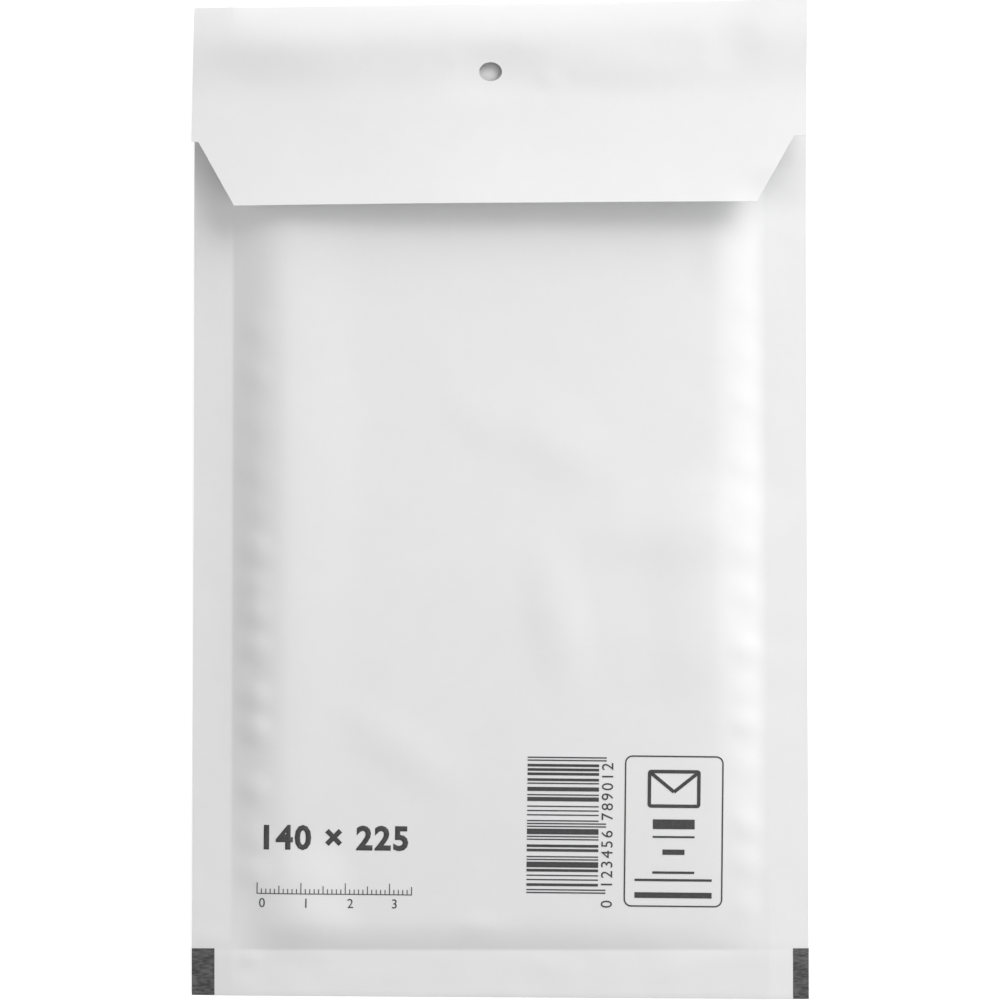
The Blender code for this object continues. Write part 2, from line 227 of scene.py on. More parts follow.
HALF_WIDTH = WIDTH / 2
SEAM_X = HALF_WIDTH - SIDE_SEAM
BOTTOM_Y = -LENGTH / 2
TOP_Y = LENGTH / 2
CREASE_Y = BOTTOM_Y + BOTTOM_SEAM
MOUTH_Y = TOP_Y - MOUTH_FROM_TOP
ROLL_START_Y = TOP_Y - ROLL_LOWER_RUN
ROLL_END_Y = TOP_Y - ROLL_UPPER_RUN
FLAP_EDGE_Y = TOP_Y - FLAP_DEPTH
TAPER_Y = FLAP_EDGE_Y + TAPER_DEPTH
LINER_X = SEAM_X - LINER_INSET
LINER_TOP_Y = MOUTH_Y - LINER_BELOW_MOUTH
LINER_BOTTOM_Y = CREASE_Y + LINER_INSET

# A soft rise or dip in the paper: centre, half sizes along and across its own direction, the
# turn of that direction from X in degrees, and its height, all in millimetres
Relief = namedtuple("Relief", "x y along across turn height")

BACK_RELIEF = (
    # The diagonal fold in the middle, and the fold that starts at the right side
    Relief(13, 15, 24, 10, -41, 0.3),
    Relief(44, -7, 30, 11.5, 2, 0.6),
    Relief(44, 2, 24, 4.5, 2, 0.15),
    Relief(40, -34, 22, 14, 0, 0.25),
    # The panel stands up to the flap's hole
    Relief(-2, 97, 12, 8, 0, 0.95),
    # Soft folds in the middle, below it and above the bottom seam
    Relief(13, -28, 22, 9, -80, 0.48),
    Relief(3, 14, 24, 9, -28, 0.26),
    Relief(-22, -57, 22, 8, -36, 0.32),
    Relief(-5, -97, 7, 4, 0, 0.2),
    # The padding swells along its right and left sides
    Relief(50, 58, 15, 8, 90, 0.4),
    Relief(44, -20, 34, 12, 90, 0.5),
    Relief(-46, 5, 105, 15, 90, 0.5),
    # The full corner at the lower left
    Relief(-45, -89, 14, 12, 40, 1.0),
    Relief(-44, -97, 14, 8, 0, 0.6),
)

FLANGE_RELIEF = (
    # Puckers in the bottom seam and at its left end
    Relief(-56.2, -104.4, 3, 2.4, 30, 0.25),
    Relief(-44, -103.6, 9, 2.6, 0, 0.14),
    Relief(-24, -108, 12, 3, 10, 0.1),
    Relief(12, -106, 14, 3, -8, 0.1),
    Relief(40, -107, 10, 3, 12, 0.12),
    Relief(-66, -99.2, 5, 1.4, 5, 0.14),
    Relief(-58, -110, 5, 2.5, 0, 0.12),
    Relief(48, -102.2, 9, 1.6, 0, -0.12),
    # The right seam is drawn up by the roll, and the lower left corner hangs
    Relief(68, 92, 13, 28, 0, 1.9),
    Relief(-70, -113, 26, 16, 0, -0.4),
)

FLAP_RELIEF = (
    # The roll is uneven, and the paper is dented round the hole
    Relief(-50, 104, 20, 10, 0, 0.45),
    Relief(30, 97.5, 24, 7, -2, 0.4),
    Relief(53, 103, 9, 8, 90, -0.4),
    Relief(-2, 97, 15, 9, 0, -0.4),
    Relief(-11, 100.3, 3.2, 2.4, -40, 0.14),
    Relief(11.5, 95, 5, 3.2, -30, 0.16),
    # The right corner of the flap's edge dips
    Relief(60, 68, 9, 7, 0, -0.5),
)

# Fine unevenness of the paper: size across and height of each scale of it
SEAM_COCKLES = ((7 * MM, 0.07 * MM), (3.5 * MM, 0.025 * MM))
BACK_COCKLES = ((26 * MM, 0.12 * MM), (11 * MM, 0.04 * MM))
FLAP_COCKLES = ((24 * MM, 0.15 * MM),)

# Bubbles that the paper shows on the slopes at the sides: distance up the envelope, strength
LEFT_BUBBLES = (
    (39, 0.7), (28, 0.9), (17, 0.5), (6.5, 0.8), (-2.5, 0.6), (-11.5, 1.5), (-20, 1.1),
    (-26, 1.5), (-34, 1.5), (-45, 1.7), (-52.5, 1.8), (-66, 1.4), (-77, 0.9), (-85, 0.9),
)
RIGHT_BUBBLES = (
    (44, 0.5), (33, 0.5), (22, 0.6), (8, 0.6), (-2, 0.6), (-12, 0.7), (-22, 0.7),
    (-34, 1.2), (-44, 0.7), (-51, 1.1), (-61, 0.6), (-74, 1.0), (-83, 0.8), (-93, 0.6),
)
BUBBLE_FROM_SEAM = 5.2 * MM
BUBBLE_RADIUS = 4.7 * MM
BUBBLE_SHOW = 0.38 * MM


def between(low, high, share):
    return low + (high - low) * share


def clamped(share):
    return min(max(share, 0.0), 1.0)


def ease(share):
    """Rises steeply from 0 and levels out at 1."""
    return 1 - (1 - clamped(share)) ** 2


def crown(share, foot_share=0.0):
    """Rises from 0 in a straight slope, with a soft foot if one is given, then rounds off to 1."""
    steepness = 2 / (1 + STRAIGHT_SHARE - foot_share)
    share = clamped(share)
    if share < foot_share:
        return steepness * share**2 / (2 * foot_share)
    if share < STRAIGHT_SHARE:
        return steepness * (share - foot_share / 2)
    return 1 - steepness * (1 - share) ** 2 / (2 * (1 - STRAIGHT_SHARE))


def bell(share):
    """1 at 0, down smoothly to 0 at 1 and beyond, on both sides."""
    return (1 - clamped(abs(share)) ** 2) ** 2


def stations(start, end, step):
    """Evenly spaced values from start to end, no further apart than step."""
    count = max(1, math.ceil(abs(end - start) / step - ROUNDING))
    return [between(start, end, i / count) for i in range(count + 1)]


def joined(*runs):
    """Runs of stations that meet end to end, as one list without the repeated ends."""
    values = [runs[0][0]]
    for run in runs:
        values.extend(run[1:])
    return values


def mirrored(right):
    """Stations from 0 outwards, with the same ones on the left."""
    return [-x for x in reversed(right[1:])] + right


def skew(x, rise):
    return rise * x / HALF_WIDTH


def panel_plan(x, y):
    """A panel's point seen from above, out of square towards the bottom fold and the roll."""
    if y < CREASE_Y:
        return x, y + skew(x, BOTTOM_SKEW) * (CREASE_Y - y) / BOTTOM_SEAM
    if y > ROLL_END_Y:
        return x, y + skew(x, TOP_SKEW) * (y - ROLL_END_Y) / ROLL_UPPER_RUN
    return x, y


def flap_plan(x, y):
    """A flap's point seen from above, turned with the fold and slid with the flap."""
    share = (TOP_Y - y) / FLAP_DEPTH
    return x + FLAP_SHIFT * share, y + skew(x, between(TOP_SKEW, FLAP_EDGE_SKEW, share))


def relief(x, y, features):
    """The height that soft rises and dips add at a point."""
    total = 0.0
    for each in features:
        turn = math.radians(each.turn)
        dx, dy = x / MM - each.x, y / MM - each.y
        along = (dx * math.cos(turn) + dy * math.sin(turn)) / each.along
        across = (dy * math.cos(turn) - dx * math.sin(turn)) / each.across
        total += each.height * MM * bell(math.hypot(along, across))
    return total


def cockle(x, y, scales):
    """Fine unevenness of the paper, given as the size across and the height of each scale."""
    total = 0.0
    for size, height in scales:
        total += height * noise.noise(Vector((x / size, y / size, size / MM)))
    return total


def bubble_show(x, y):
    """How far the bubbles at the sides lift the paper that is drawn over them."""
    bubbles, side = (RIGHT_BUBBLES, 1) if x > 0 else (LEFT_BUBBLES, -1)
    from_middle = (side * x - (SEAM_X - BUBBLE_FROM_SEAM)) / BUBBLE_RADIUS
    if abs(from_middle) >= 1:
        return 0.0
    total = 0.0
    for bubble_y, strength in bubbles:
        total += strength * bell(math.hypot(from_middle, (y - bubble_y * MM) / BUBBLE_RADIUS))
    return BUBBLE_SHOW * total


def seam_height(x, y):
    """Height of the glue line, which droops outside the seam line and is drawn up by the roll."""
    droop = SEAM_DROOP * max(0.0, (abs(x) - SEAM_X) / SIDE_SEAM)
    droop += BOTTOM_DROOP * clamped((CREASE_Y - y) / BOTTOM_SEAM)
    top_share = clamped((y - SEAM_TOP_RISE_FROM_Y) / SEAM_TOP_RISE_RUN)
    return SEAM_HEIGHT - droop + SEAM_TOP_RISE * (1 - math.cos(math.pi * top_share)) / 2


def crease(y):
    """The groove that the bottom seam's inner edge presses into the paper."""
    return CREASE_DEPTH * bell((y - CREASE_Y) / CREASE_HALF_WIDTH)


def seam_cockle(x, y):
    """The unevenness that the glue leaves in both sheets of a seam."""
    return cockle(x, y, SEAM_COCKLES) + relief(x, y, FLANGE_RELIEF)


def back_height(x, y):
    """Height of the middle of the back panel's paper."""
    end_rise = ease((y - CREASE_Y) / BACK_END_RUN)
    foot = seam_height(x, y) + seam_cockle(x, y) + SEAM_GAP / 2
    mouth_dip = MOUTH_DIP * clamped((y - MOUTH_Y) / MOUTH_DIP_RUN + 1) ** 2
    tail_dip = TAIL_DIP * (1 - clamped((y - CREASE_Y) / TAIL_RUN)) ** 2
    right_fall = RIGHT_FALL * clamped((x - RIGHT_FALL_FROM_X) / (SEAM_X - RIGHT_FALL_FROM_X)) ** 2
    full = PAD_HEIGHT - PAPER / 2 - mouth_dip - tail_dip - right_fall
    full += cockle(x, y, BACK_COCKLES)
    side_run, foot_share = (BACK_RIGHT_RUN, RIGHT_FOOT_SHARE) if x > 0 else (BACK_LEFT_RUN, 0.0)
    height = between(foot, full, crown((SEAM_X - abs(x)) / side_run, foot_share) * end_rise)
    return height + relief(x, y, BACK_RELIEF) + bubble_show(x, y) * end_rise - crease(y)


def front_height(x, y):
    """Height of the middle of the front panel's paper, which lies flat under the padding."""
    rise = ease((SEAM_X - abs(x)) / FRONT_SIDE_RUN) * ease((y - CREASE_Y) / FRONT_END_RUN)
    foot = seam_height(x, y) + seam_cockle(x, y) - SEAM_GAP / 2
    return between(foot, PAPER / 2, rise) - crease(y)


def flap_height(x, y):
    """Height of the middle of the flap's paper, from the end of the roll to the flap's edge."""
    share = clamped((ROLL_END_Y - y) / (ROLL_END_Y - FLAP_EDGE_Y))
    lift = FLAP_LIFT * share**FLAP_LIFT_POWER
    hump = FLAP_HUMP * bell((TOP_Y - FLAP_HUMP_FROM_TOP - y) / FLAP_HUMP_RUN)
    left_fall = FLAP_LEFT_FALL * clamped(-x / HALF_WIDTH) ** FLAP_LEFT_FALL_POWER
    uneven = relief(x, y, FLAP_RELIEF) + cockle(x, y, FLAP_COCKLES)
    return FLAP_HEIGHT + lift + hump - left_fall + uneven


def flap_half_width(y):
    """Half the flap's width: full at the roll, then a small step and a taper to the edge."""
    if y >= TAPER_Y:
        return HALF_WIDTH
    return HALF_WIDTH - TAPER_STEP - TAPER_INSET * (TAPER_Y - y) / TAPER_DEPTH


def back_row(y):
    return lambda x: (*panel_plan(x, y), back_height(x, y))


def front_row(y):
    return lambda x: (*panel_plan(x, y), front_height(x, y))


def flap_row(y):
    """A row of the flap, which is cut a little further in at its right taper."""
    more = RIGHT_TAPER_MORE if y < TAPER_Y else 0.0

    def place(x):
        x -= more * clamped(x / HALF_WIDTH)
        return (*flap_plan(x, y), flap_height(x, y))

    return place


def bottom_fold_row(angle):
    """A row on the half turn at the bottom, from the back panel to the front panel."""
    radius = SEAM_GAP / 2
    y = BOTTOM_Y + radius * (1 - math.sin(angle))

    def place(x):
        middle = (back_height(x, y) + front_height(x, y)) / 2
        return (*panel_plan(x, y), middle + radius * math.cos(angle))

    return place


def roll_limb_height(x):
    """Height of the outermost line of the roll."""
    share = ROLL_LIMB_SHARE + ROLL_LIMB_RIGHT_RISE * clamped(x / HALF_WIDTH)
    return between(front_height(x, TOP_Y), flap_height(x, TOP_Y), share)


def roll_row(angle):
    """A row on the soft roll over the mouth: up from the front panel, then back over as the flap."""
    if angle > math.pi / 2:
        y = TOP_Y - ROLL_UPPER_RUN * (1 - math.sin(angle))
        rise = (-math.cos(angle)) ** ROLL_SHARPNESS
        return lambda x: (*flap_plan(x, y), between(roll_limb_height(x), flap_height(x, y), rise))
    y = TOP_Y - ROLL_LOWER_RUN * (1 - math.sin(angle))
    rise = 1 - max(0.0, math.cos(angle)) ** ROLL_SHARPNESS
    return lambda x: (*panel_plan(x, y), between(front_height(x, y), roll_limb_height(x), rise))


def cover_columns():
    """The x of each column of the sheet, closest together at the seam lines."""
    return mirrored(
        joined(
            stations(0, SEAM_X - CREASE_CELL, CELL),
            [SEAM_X - CREASE_CELL, SEAM_X, SEAM_X + CREASE_CELL],
            stations(SEAM_X + CREASE_CELL, HALF_WIDTH, CELL),
        )
    )


def cover_rows():
    """Each row of the sheet with its half width, from the mouth to the edge of the flap."""
    fold_y = BOTTOM_Y + SEAM_GAP / 2
    front_flat_y = CREASE_Y + FRONT_END_RUN
    crease = [CREASE_Y + CREASE_CELL, CREASE_Y, CREASE_Y - CREASE_CELL]
    back = joined(
        stations(MOUTH_Y, CREASE_Y + CREASE_CELL, CELL),
        crease,
        stations(CREASE_Y - CREASE_CELL, fold_y, CELL),
    )
    front = joined(
        stations(fold_y, CREASE_Y, CELL),
        stations(CREASE_Y, front_flat_y, CELL),
        stations(front_flat_y, ROLL_START_Y, WIDE_CELL),
    )
    fold_angles = [math.pi * i / FOLD_STEPS for i in range(1, FOLD_STEPS)]
    roll_angles = [math.pi * i / ROLL_STEPS for i in range(1, ROLL_STEPS + 1)]
    flap = joined(
        stations(ROLL_END_Y, TAPER_Y, CELL),
        [TAPER_Y, TAPER_Y - PAPER],
        stations(TAPER_Y - PAPER, FLAP_EDGE_Y, CELL),
    )
    rows = [(back_row(y), HALF_WIDTH) for y in back]
    rows += [(bottom_fold_row(angle), HALF_WIDTH) for angle in fold_angles]
    rows += [(front_row(y), HALF_WIDTH) for y in front]
    rows += [(roll_row(angle), HALF_WIDTH) for angle in roll_angles]
    rows += [(flap_row(y), flap_half_width(y)) for y in flap[1:]]
    return rows


def deselect_all():
    for obj in bpy.context.selected_objects:
        obj.select_set(False)


def activate(obj):
    deselect_all()
    obj.select_set(True)
    bpy.context.view_layer.objects.active = obj


def apply_modifier(obj, kind, **settings):
    """Adds a modifier with its settings and applies it."""
    activate(obj)
    modifier = obj.modifiers.new(kind.title(), kind)
    for key, value in settings.items():
        setattr(modifier, key, value)
    bpy.ops.object.modifier_apply(modifier=modifier.name)


def smooth(obj, degrees=30):
    activate(obj)
    bpy.ops.object.shade_smooth_by_angle(angle=math.radians(degrees))


def plain_grid(name, columns, rows):
    """A flat grid with that many points each way, ready for shaping."""
    deselect_all()
    bpy.ops.mesh.primitive_grid_add(x_subdivisions=columns - 1, y_subdivisions=rows - 1, size=1)
    grid = bpy.context.object
    grid.name = grid.data.name = name
    return grid


def shape_grid(grid, columns, rows, place):
    """Moves each point of a flat grid to place(column, row), by its column and row."""
    for vertex in grid.data.vertices:
        column = columns[round((vertex.co.x + 0.5) * (len(columns) - 1))]
        row = rows[round((vertex.co.y + 0.5) * (len(rows) - 1))]
        vertex.co = place(column, row)


def finish_piece(piece, finish):
    """Gives a piece its material and its body, and hands it back."""
    piece.data.materials.clear()
    piece.data.materials.append(finish)
    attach(piece, "root")
    return piece


# Materials

def colour(code):
    """An sRGB hex colour as linear RGBA."""
    channels = [int(code[i:i + 2], 16) / 255 for i in (1, 3, 5)]
    linear = [c / 12.92 if c <= 0.04045 else ((c + 0.055) / 1.055) ** 2.4 for c in channels]
    return (*linear, 1.0)


def add_node(tree, kind, settings=None, **inputs):
    """Adds a node with its settings, and values or links for its inputs (_0 is the first one)."""
    node = tree.nodes.new(kind)
    for key, value in (settings or {}).items():
        setattr(node, key, value)
    for key, value in inputs.items():
        socket = node.inputs[int(key[1:]) if key[1:].isdigit() else key.replace("_", " ")]
        if isinstance(value, bpy.types.NodeSocket):
            tree.links.new(value, socket)
        else:
            socket.default_value = value
    return node


def material(name, build):
    """A node material whose shader build(tree, place) makes, place being the Object coordinates."""
    made = bpy.data.materials.new(name)
    made.use_nodes = True
    tree = made.node_tree
    tree.nodes.clear()
    place = add_node(tree, "ShaderNodeTexCoord").outputs["Object"]
    add_node(tree, "ShaderNodeOutputMaterial", Surface=build(tree, place))
    return made


def spots(tree, place, size, detail=2.0, stretch=(1, 1, 1)):
    """Soft noise of a real size across, longer along an axis where stretch is below 1."""
    scaled = add_node(tree, "ShaderNodeMapping", Vector=place, Scale=stretch).outputs["Vector"]
    noise_node = add_node(tree, "ShaderNodeTexNoise", Vector=scaled, Scale=1 / size, Detail=detail)
    return noise_node.outputs["Fac"]


def spread(tree, fac, low, high):
    """A noise value mapped from its usual middle range to low and high."""
    node = add_node(
        tree, "ShaderNodeMapRange", Value=fac, From_Min=0.3, From_Max=0.7, To_Min=low, To_Max=high
    )
    return node.outputs["Result"]


def tint(tree, fac, dark, light):
    """A colour between two hex colours."""
    mixed = add_node(tree, "ShaderNodeMix", {"data_type": "RGBA"}, Factor=fac)
    mixed.inputs[6].default_value = colour(dark)
    mixed.inputs[7].default_value = colour(light)
    return mixed.outputs[2]


def bump(tree, height, distance):
    """A normal that follows a height in shares of a real distance."""
    node = add_node(tree, "ShaderNodeBump", Height=height, Distance=distance, Strength=1.0)
    return node.outputs["Normal"]


def blend(tree, share, first, second):
    """Two values mixed, share being how much the second one counts."""
    node = add_node(
        tree, "ShaderNodeMix", {"data_type": "FLOAT"}, _0=share, _2=first, _3=second
    )
    return node.outputs[0]


def larger(tree, first, second):
    """The larger one of two values."""
    node = add_node(tree, "ShaderNodeMath", {"operation": "MAXIMUM"}, _0=first, _1=second)
    return node.outputs[0]


def white_kraft_paper(tree, place):
    """Machine-glazed bleached kraft, 90 g/m2: a neutral white with a low sheen, faintly cloudy
    where its fibres lie denser, and a fine fibre grain along the machine's direction."""
    clouds = spots(tree, place, 6 * MM, 3)
    formation = spots(tree, place, 1.6 * MM, 2)
    fibres = spots(tree, place, 0.35 * MM, 3, stretch=(1, 0.3, 1))
    shade = blend(tree, 0.4, clouds, formation)
    shader = add_node(
        tree,
        "ShaderNodeBsdfPrincipled",
        Base_Color=tint(tree, spread(tree, shade, 0, 1), "#E4E4E4", "#E6E6E6"),
        Roughness=spread(tree, formation, 0.56, 0.64),
        Normal=bump(tree, fibres, 0.006 * MM),
    )
    shader.inputs["Specular IOR Level"].default_value = 0.35
    return shader.outputs["BSDF"]


def bubble_film(tree, place):
    """Blown low-density polyethylene: clear, soft and glossy, milky where it is thickest."""
    haze = spots(tree, place, 3 * MM)
    shader = add_node(
        tree,
        "ShaderNodeBsdfPrincipled",
        Base_Color=tint(tree, spread(tree, haze, 0, 1), "#DDE4E8", "#EEF2F4"),
        Roughness=spread(tree, haze, 0.18, 0.3),
        Normal=bump(tree, haze, 0.05 * MM),
    )
    shader.inputs["IOR"].default_value = 1.51
    shader.inputs["Alpha"].default_value = 0.45
    return shader.outputs["BSDF"]


def hot_melt_adhesive(tree, place):
    """A pressure-sensitive hot melt, rolled on: faintly yellow, glossy, with fine coating lines."""
    lines = spots(tree, place, 0.5 * MM, 2, stretch=(0.1, 1, 1))
    shader = add_node(
        tree,
        "ShaderNodeBsdfPrincipled",
        Base_Color=tint(tree, spread(tree, lines, 0, 1), "#DCD6BC", "#E8E4D0"),
        Roughness=spread(tree, lines, 0.2, 0.32),
        Normal=bump(tree, lines, 0.02 * MM),
    )
    shader.inputs["IOR"].default_value = 1.5
    return shader.outputs["BSDF"]


def release_paper(tree, place):
    """Glassine with a silicone coating: a smooth cool white with a satin shine."""
    grain = spots(tree, place, 0.8 * MM, 3, stretch=(0.4, 1, 1))
    shader = add_node(
        tree,
        "ShaderNodeBsdfPrincipled",
        Base_Color=tint(tree, spread(tree, grain, 0, 1), "#D9DEDF", "#E3E7E8"),
        Roughness=spread(tree, grain, 0.3, 0.4),
        Normal=bump(tree, grain, 0.01 * MM),
    )
    return shader.outputs["BSDF"]


def flexo_ink(tree, place):
    """Flexographic ink on kraft: a matt off-black, a little mottled where the fibres drank it."""
    mottle = spots(tree, place, 0.7 * MM, 3)
    shader = add_node(
        tree,
        "ShaderNodeBsdfPrincipled",
        Base_Color=tint(tree, spread(tree, mottle, 0, 1), "#242424", "#3A3A3A"),
        Roughness=spread(tree, mottle, 0.55, 0.7),
        Normal=bump(tree, mottle, 0.01 * MM),
    )
    return shader.outputs["BSDF"]


def worn_flexo_ink(tree, place):
    """The same ink laid thin by a worn plate: dark grey with fine pale streaks across it."""
    streaks = spots(tree, place, 0.45 * MM, 4, stretch=(0.25, 1, 1))
    patches = spots(tree, place, 2.5 * MM, 2)
    shade = blend(tree, 0.35, streaks, patches)
    shader = add_node(
        tree,
        "ShaderNodeBsdfPrincipled",
        Base_Color=tint(tree, spread(tree, shade, -0.5, 1.5), "#1A1A1A", "#5A5A5A"),
        Roughness=spread(tree, streaks, 0.55, 0.7),
        Normal=bump(tree, streaks, 0.01 * MM),
    )
    return shader.outputs["BSDF"]


def seen_directly(tree):
    """1 for what the camera sees, also in a reflection or through a clear piece, else 0."""
    path = add_node(tree, "ShaderNodeLightPath").outputs
    mirrored_too = larger(tree, path["Is Camera Ray"], path["Is Glossy Ray"])
    return larger(tree, mirrored_too, path["Is Transmission Ray"])


def studio_white(tree, place):
    """White painted board. It is lifted towards white for the camera, and keeps a faint shadow."""
    board = add_node(tree, "ShaderNodeBsdfDiffuse", Color=colour("#F4F4F4"))
    lift = add_node(
        tree, "ShaderNodeMath", {"operation": "MULTIPLY"}, _0=seen_directly(tree), _1=FLOOR_LIFT
    )
    glow = add_node(tree, "ShaderNodeEmission", Strength=lift.outputs[0])
    return add_node(
        tree, "ShaderNodeAddShader", _0=board.outputs[0], _1=glow.outputs[0]
    ).outputs[0]


# Paper, film and closure

def punch_hole(cover):
    """Cuts the hanging hole through the flap alone."""
    y = TOP_Y - HOLE_FROM_TOP
    x, y, z = flap_row(y)(HOLE_X)
    deselect_all()
    bpy.ops.mesh.primitive_cylinder_add(
        vertices=HOLE_SIDES,
        radius=0.5,
        depth=1,
        location=(x, y, z),
        scale=(HOLE_WIDTH, HOLE_LENGTH, PUNCH_LENGTH),
    )
    punch = bpy.context.object
    apply_modifier(cover, "BOOLEAN", operation="DIFFERENCE", object=punch, solver="EXACT")
    bpy.data.objects.remove(punch)


def length_along(rows):
    """The sheet's length from the mouth to the flap's edge, measured along its middle."""
    points = [Vector(line(0.0)) for line, _ in rows]
    return sum((b - a).length for a, b in zip(points, points[1:]))


def make_paper_cover(finish):
    """The whole sheet: back panel, bottom fold, front panel, roll and flap."""
    columns, rows = cover_columns(), cover_rows()
    cover = plain_grid("folded_paper_cover", len(columns), len(rows))

    def place(x, row):
        line, half_width = row
        return line(x * half_width / HALF_WIDTH)

    shape_grid(cover, columns, rows, place)
    sheet_length = length_along(rows)
    apply_modifier(cover, "SOLIDIFY", thickness=PAPER, offset=0, use_even_offset=True)
    punch_hole(cover)
    smooth(cover)
    finish_piece(cover, finish)
    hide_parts("paper_cover")
    return cover


def liner_top(x, y):
    return back_height(x, y) - PAPER / 2 - CLEARANCE


def liner_bottom(x, y):
    return front_height(x, y) + PAPER / 2 + CLEARANCE


def film_height(x, y, side):
    """Height of the flat film of one pad: side is 1 for the back pad and -1 for the front pad."""
    low, high = liner_bottom(x, y), liner_top(x, y)
    apart = min(POCKET_GAP, (high - low) * POCKET_LARGEST_SHARE)
    apart *= clamped((LINER_X - abs(x)) / POCKET_SEAL)
    return (low + high) / 2 + side * (apart + 2 * FILM) / 2


def make_film_pouch():
    """The flat film, folded at the bottom and open at the mouth, with its sides drawn together."""
    columns = mirrored(joined(stations(0, LINER_X - POCKET_SEAL, FILM_CELL), [LINER_X]))
    levels = stations(LINER_TOP_Y, LINER_BOTTOM_Y, FILM_CELL)
    rows = [(y, 1) for y in levels] + [(y, -1) for y in reversed(levels)]
    pouch = plain_grid("bubble_film_liner", len(columns), len(rows))
    shape_grid(pouch, columns, rows, lambda x, row: (x, row[0], film_height(x, *row)))
    apply_modifier(pouch, "SOLIDIFY", thickness=FILM, offset=0)
    return pouch


def bubble_centres():
    """Centres of the bubbles in staggered columns, in the space inside the seams."""
    reach = LINER_X - BUBBLE_RADIUS_OF_FILM
    columns = math.floor(reach / BUBBLE_COLUMN_PITCH)
    for column in range(-columns, columns + 1):
        shift = BUBBLE_PITCH / 2 if column % 2 else 0.0
        y = LINER_BOTTOM_Y + BUBBLE_RADIUS_OF_FILM + FILM + shift
        while y < LINER_TOP_Y - BUBBLE_RADIUS_OF_FILM:
            yield column * BUBBLE_COLUMN_PITCH, y
            y += BUBBLE_PITCH


def add_bubble(bm, x, y, side):
    """One closed bubble that stands on the flat film and reaches to just under the paper."""
    far_height = liner_top if side > 0 else liner_bottom
    rings = []
    for share_out, share_up in BUBBLE_PROFILE:
        ring = []
        for i in range(BUBBLE_SIDES):
            angle = side * 2 * math.pi * i / BUBBLE_SIDES
            px = x + BUBBLE_RADIUS_OF_FILM * share_out * math.cos(angle)
            py = y + BUBBLE_RADIUS_OF_FILM * share_out * math.sin(angle)
            base = film_height(px, py, side) + side * FILM
            ring.append(bm.verts.new((px, py, between(base, far_height(px, py), share_up))))
        rings.append(ring)
    for lower, upper in zip(rings, rings[1:]):
        for i in range(BUBBLE_SIDES):
            j = (i + 1) % BUBBLE_SIDES
            bm.faces.new((lower[i], lower[j], upper[j], upper[i]))
    bm.faces.new(rings[-1])
    bm.faces.new(reversed(rings[0]))


def make_liner(finish):
    """The bubble film: the flat pouch with bubbles on its outside, under both panels."""
    liner = make_film_pouch()
    bm = bmesh.new()
    bm.from_mesh(liner.data)
    for side in (1, -1):
        for x, y in bubble_centres():
            add_bubble(bm, x, y, side)
    bm.to_mesh(liner.data)
    bm.free()
    smooth(liner, BUBBLE_SMOOTH_DEGREES)
    finish_piece(liner, finish)
    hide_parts("bubble_liner")
    return liner


def make_strip(name, width, end_gap, below_flap, thickness, finish):
    """A strip along the inside of the flap, its upper face this far below the flap's paper."""
    middle = FLAP_EDGE_Y + CLOSURE_FROM_EDGE
    low_y, high_y = middle - width / 2, middle + width / 2
    half_length = flap_half_width(low_y) - end_gap
    columns = stations(-half_length, half_length, CELL)
    rows = stations(low_y, high_y, CELL)
    strip = plain_grid(name, len(columns), len(rows))
    depth = PAPER / 2 + below_flap + thickness / 2

    def place(x, y):
        return (*flap_plan(x, y), flap_height(x, y) - depth)

    shape_grid(strip, columns, rows, place)
    apply_modifier(strip, "SOLIDIFY", thickness=thickness, offset=0)
    smooth(strip)
    return finish_piece(strip, finish)


def make_closure(adhesive_finish, release_finish):
    """The adhesive on the inside of the flap and the release paper that covers it."""
    adhesive = make_strip(
        "flap_adhesive", ADHESIVE_WIDTH, ADHESIVE_END_GAP, STRIP_GAP, ADHESIVE,
        adhesive_finish,
    )
    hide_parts("adhesive_strip")
    release = make_strip(
        "release_strip", RELEASE_WIDTH, RELEASE_END_GAP, 2 * STRIP_GAP + ADHESIVE, RELEASE_PAPER,
        release_finish,
    )
    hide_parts("release_liner")


# Print, drawn flat in the sheet's own x and y and then laid on the paper

def ink_bar(x, y, width, height):
    """A filled rectangle of ink with its lower left corner at x, y."""
    bpy.ops.mesh.primitive_plane_add(size=1)
    bar = bpy.context.object
    bar.data.transform(
        Matrix.Translation((x + width / 2, y + height / 2, 0)) @ Matrix.Diagonal((width, height, 1, 1))
    )
    return bar


def ink_figures(figures, x, y, height, align="LEFT", spacing=1.0, weight=0.0):
    """Printed figures of a given height, their baseline starting or centred at x, y."""
    bpy.ops.object.text_add()
    text = bpy.context.object
    text.data.body = figures
    text.data.align_x = align
    text.data.size = height / FIGURE_HEIGHT_SHARE
    text.data.space_character = spacing
    text.data.offset = weight
    text.data.resolution_u = FIGURE_CURVE_STEPS
    bpy.ops.object.convert(target="MESH")
    text = bpy.context.object
    text.data.transform(Matrix.Translation((x, y, 0)))
    return text


def ink_outline(x, y, width, height, line, corner):
    """A printed rectangular line with rounded corners, corner being their radius."""
    frame_bar = ink_bar(x, y, width, height)
    activate(frame_bar)
    bpy.ops.object.mode_set(mode="EDIT")
    bpy.ops.mesh.select_all(action="SELECT")
    bpy.ops.mesh.bevel(offset=corner, segments=LABEL_CORNER_STEPS, affect="VERTICES")
    bpy.ops.mesh.inset(thickness=line)
    bpy.ops.mesh.delete(type="FACE")
    bpy.ops.object.mode_set(mode="OBJECT")
    return frame_bar


